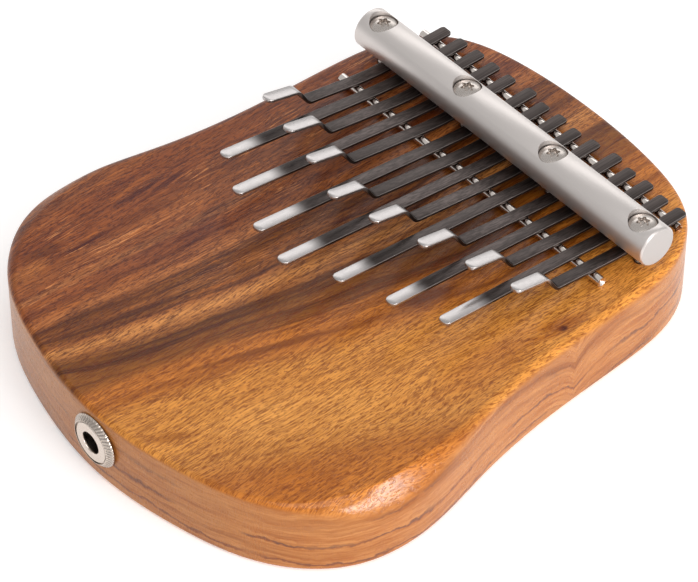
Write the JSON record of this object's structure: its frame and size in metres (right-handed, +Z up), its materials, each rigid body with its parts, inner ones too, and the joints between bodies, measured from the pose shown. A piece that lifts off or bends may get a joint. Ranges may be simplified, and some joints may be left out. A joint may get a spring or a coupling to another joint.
{
  "type": "board kalimba",
  "caption": "Waisted solid-wood thumb piano with flexing steel tines over two bridge rods, a round clamp bar and a quarter-inch jack socket in the end wall.",
  "frame": {"origin": "centre of the board's flat underside", "axes": "+Y towards the clamp bar end, +Z up through the tines, jack socket in the -Y end wall"},
  "size_m": [0.1506, 0.1859, 0.0434],
  "materials": {
    "board_wood": "satin oiled hardwood, figured",
    "cover_plastic": "matt black",
    "cover_screw_steel": "black oxide",
    "rod_steel": "polished",
    "bar_aluminium": "satin anodised",
    "screw_steel": "machined",
    "tine_steel": "dark brushed spring steel with polished tips",
    "jack_nickel": "nickel plated",
    "washer_steel": "zinc plated",
    "insulator_plastic": "matt",
    "contact_brass": "rolled",
    "piezo_ceramic": "silvered ceramic",
    "lead_red": "insulated wire",
    "lead_black": "insulated wire"
  },
  "bodies": {
    "frame": {"body_board": "board_wood", "back_cover": "cover_plastic", "cover_screw_1": "cover_screw_steel", "cover_screw_2": "cover_screw_steel", "cover_screw_3": "cover_screw_steel", "cover_screw_4": "cover_screw_steel", "front_bridge_rod": "rod_steel", "rear_bridge_rod": "rod_steel", "clamp_bar": "bar_aluminium", "clamp_screw_1": "screw_steel", "clamp_screw_2": "screw_steel", "clamp_screw_3": "screw_steel", "clamp_screw_4": "screw_steel", "tine_01_heel": "tine_steel", "tine_02_heel": "tine_steel", "tine_03_heel": "tine_steel", "tine_04_heel": "tine_steel", "tine_05_heel": "tine_steel", "tine_06_heel": "tine_steel", "tine_07_heel": "tine_steel", "tine_08_heel": "tine_steel", "tine_09_heel": "tine_steel", "tine_10_heel": "tine_steel", "tine_11_heel": "tine_steel", "tine_12_heel": "tine_steel", "tine_13_heel": "tine_steel", "tine_14_heel": "tine_steel", "tine_15_heel": "tine_steel", "jack_ring_nut": "jack_nickel", "jack_sleeve": "jack_nickel", "jack_washer": "washer_steel", "jack_insulator": "insulator_plastic", "jack_tip_spring": "contact_brass", "piezo_plate": "contact_brass", "piezo_ceramic": "piezo_ceramic", "pickup_lead_hot": "lead_red", "pickup_lead_ground": "lead_black"},
    "tine_01": {"tine_01_tongue": "tine_steel"},
    "tine_02": {"tine_02_tongue": "tine_steel"},
    "tine_03": {"tine_03_tongue": "tine_steel"},
    "tine_04": {"tine_04_tongue": "tine_steel"},
    "tine_05": {"tine_05_tongue": "tine_steel"},
    "tine_06": {"tine_06_tongue": "tine_steel"},
    "tine_07": {"tine_07_tongue": "tine_steel"},
    "tine_08": {"tine_08_tongue": "tine_steel"},
    "tine_09": {"tine_09_tongue": "tine_steel"},
    "tine_10": {"tine_10_tongue": "tine_steel"},
    "tine_11": {"tine_11_tongue": "tine_steel"},
    "tine_12": {"tine_12_tongue": "tine_steel"},
    "tine_13": {"tine_13_tongue": "tine_steel"},
    "tine_14": {"tine_14_tongue": "tine_steel"},
    "tine_15": {"tine_15_tongue": "tine_steel"}
  },
  "joints": [
    {"name": "tine_01_flex", "type": "hinge", "parent": "frame", "child": "tine_01", "pos_m": [-0.05015, 0.03985, 0.02965], "axis": [1, 0, 0], "range_deg": [-2, 3], "stiffness_Nm_per_rad": 6.6},
    {"name": "tine_02_flex", "type": "hinge", "parent": "frame", "child": "tine_02", "pos_m": [-0.04315, 0.03985, 0.0295], "axis": [1, 0, 0], "range_deg": [-2, 3], "stiffness_Nm_per_rad": 3.8},
    {"name": "tine_03_flex", "type": "hinge", "parent": "frame", "child": "tine_03", "pos_m": [-0.03615, 0.03985, 0.02961], "axis": [1, 0, 0], "range_deg": [-2, 3], "stiffness_Nm_per_rad": 5.8},
    {"name": "tine_04_flex", "type": "hinge", "parent": "frame", "child": "tine_04", "pos_m": [-0.02915, 0.03985, 0.02945], "axis": [1, 0, 0], "range_deg": [-2, 3], "stiffness_Nm_per_rad": 3.4},
    {"name": "tine_05_flex", "type": "hinge", "parent": "frame", "child": "tine_05", "pos_m": [-0.02215, 0.03985, 0.02957], "axis": [1, 0, 0], "range_deg": [-2, 3], "stiffness_Nm_per_rad": 5.3},
    {"name": "tine_06_flex", "type": "hinge", "parent": "frame", "child": "tine_06", "pos_m": [-0.014, 0.03985, 0.02941], "axis": [1, 0, 0], "range_deg": [-2, 3], "stiffness_Nm_per_rad": 3.1},
    {"name": "tine_07_flex", "type": "hinge", "parent": "frame", "child": "tine_07", "pos_m": [-0.007, 0.03985, 0.02953], "axis": [1, 0, 0], "range_deg": [-2, 3], "stiffness_Nm_per_rad": 4.7},
    {"name": "tine_08_flex", "type": "hinge", "parent": "frame", "child": "tine_08", "pos_m": [0, 0.03985, 0.02937], "axis": [1, 0, 0], "range_deg": [-2, 3], "stiffness_Nm_per_rad": 3},
    {"name": "tine_09_flex", "type": "hinge", "parent": "frame", "child": "tine_09", "pos_m": [0.007, 0.03985, 0.02949], "axis": [1, 0, 0], "range_deg": [-2, 3], "stiffness_Nm_per_rad": 5},
    {"name": "tine_10_flex", "type": "hinge", "parent": "frame", "child": "tine_10", "pos_m": [0.014, 0.03985, 0.02933], "axis": [1, 0, 0], "range_deg": [-2, 3], "stiffness_Nm_per_rad": 3.4},
    {"name": "tine_11_flex", "type": "hinge", "parent": "frame", "child": "tine_11", "pos_m": [0.02215, 0.03985, 0.02945], "axis": [1, 0, 0], "range_deg": [-2, 3], "stiffness_Nm_per_rad": 5.7},
    {"name": "tine_12_flex", "type": "hinge", "parent": "frame", "child": "tine_12", "pos_m": [0.02915, 0.03985, 0.02929], "axis": [1, 0, 0], "range_deg": [-2, 3], "stiffness_Nm_per_rad": 3.8},
    {"name": "tine_13_flex", "type": "hinge", "parent": "frame", "child": "tine_13", "pos_m": [0.03615, 0.03985, 0.02941], "axis": [1, 0, 0], "range_deg": [-2, 3], "stiffness_Nm_per_rad": 6.6},
    {"name": "tine_14_flex", "type": "hinge", "parent": "frame", "child": "tine_14", "pos_m": [0.04315, 0.03985, 0.02926], "axis": [1, 0, 0], "range_deg": [-2, 3], "stiffness_Nm_per_rad": 4.3},
    {"name": "tine_15_flex", "type": "hinge", "parent": "frame", "child": "tine_15", "pos_m": [0.05015, 0.03985, 0.02937], "axis": [1, 0, 0], "range_deg": [-2, 3], "stiffness_Nm_per_rad": 7.7}
  ]
}
